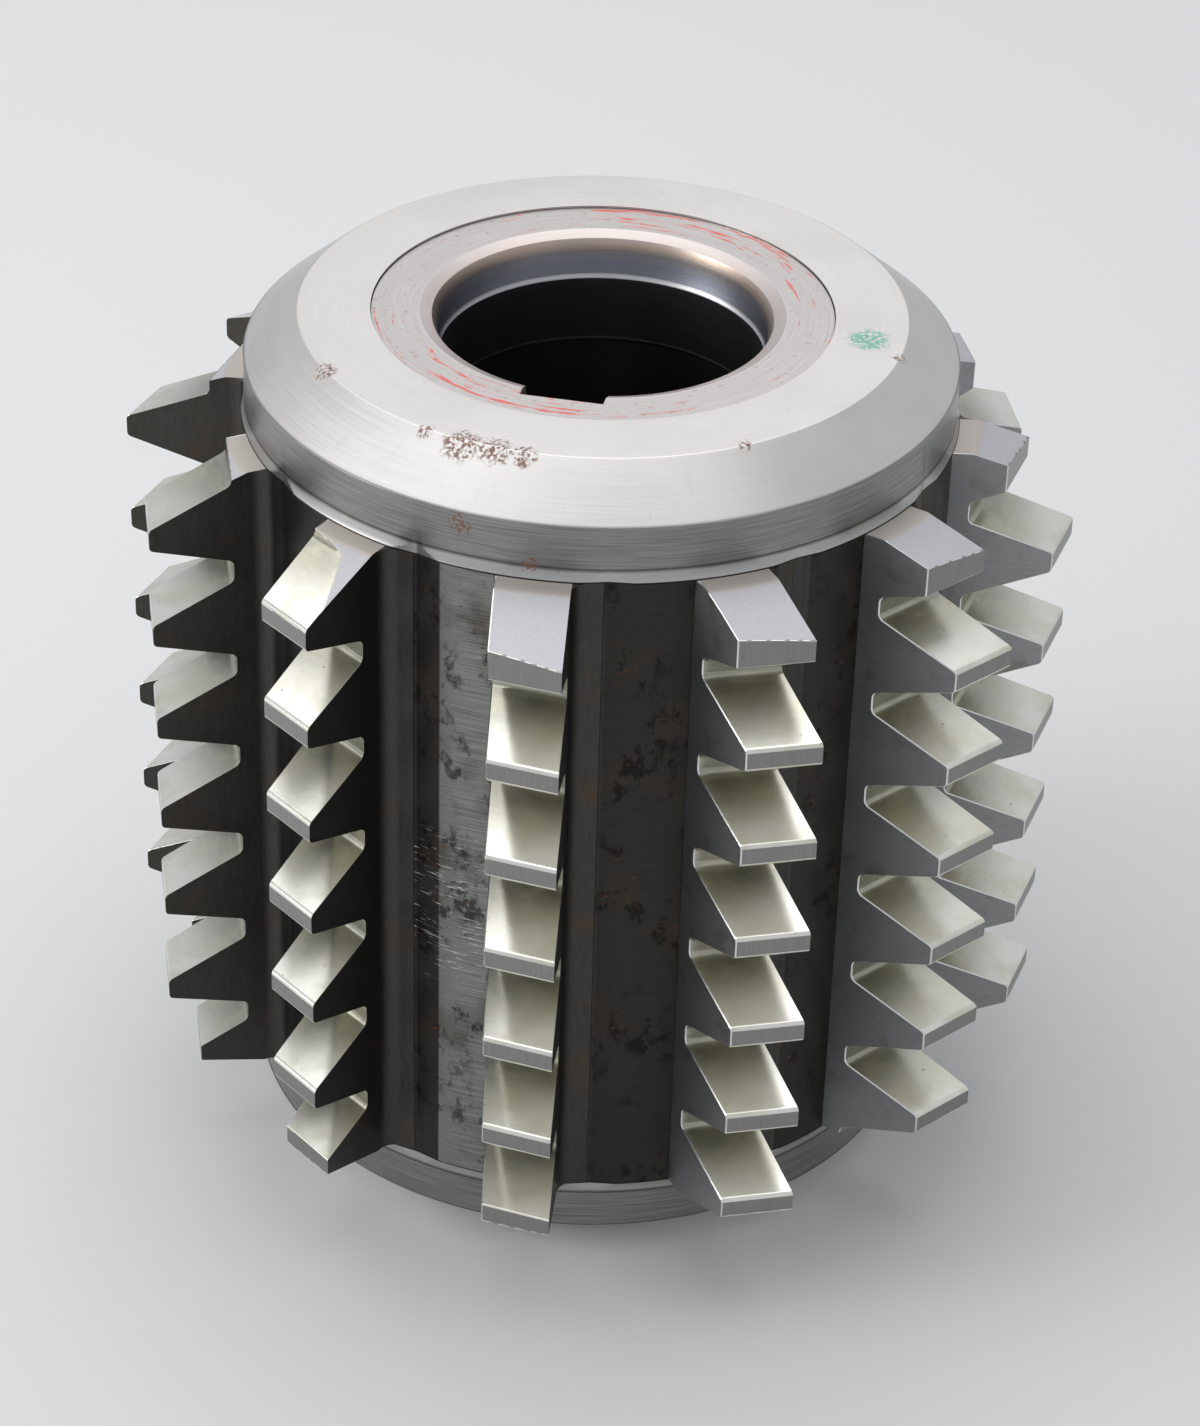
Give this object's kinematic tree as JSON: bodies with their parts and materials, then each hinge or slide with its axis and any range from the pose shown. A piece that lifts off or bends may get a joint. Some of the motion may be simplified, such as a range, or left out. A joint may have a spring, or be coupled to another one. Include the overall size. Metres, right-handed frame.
{
  "type": "gear hob",
  "caption": "Cylindrical gear hob with relieved inserted tooth racks along a helix, end rings, axial gashes and a keyed bore.",
  "frame": {"origin": "centre of the lower ring's end face, on the bore axis; the hob stands on this face", "axes": "+Z along the bore axis; one gash bottom lies exactly on -Y"},
  "size_m": [0.1184, 0.1184, 0.114],
  "materials": {
    "body_steel": "ground, oily",
    "ring_steel": "fine ground",
    "rack_steel": "ground flanks"
  },
  "bodies": {
    "root": {"hob_body": "body_steel", "bottom_end_ring": "ring_steel", "top_end_ring": "ring_steel", "tooth_rack_01": "rack_steel", "tooth_rack_02": "rack_steel", "tooth_rack_03": "rack_steel", "tooth_rack_04": "rack_steel", "tooth_rack_05": "rack_steel", "tooth_rack_06": "rack_steel", "tooth_rack_07": "rack_steel", "tooth_rack_08": "rack_steel", "tooth_rack_09": "rack_steel", "tooth_rack_10": "rack_steel", "tooth_rack_11": "rack_steel", "tooth_rack_12": "rack_steel"}
  },
  "joints": []
}
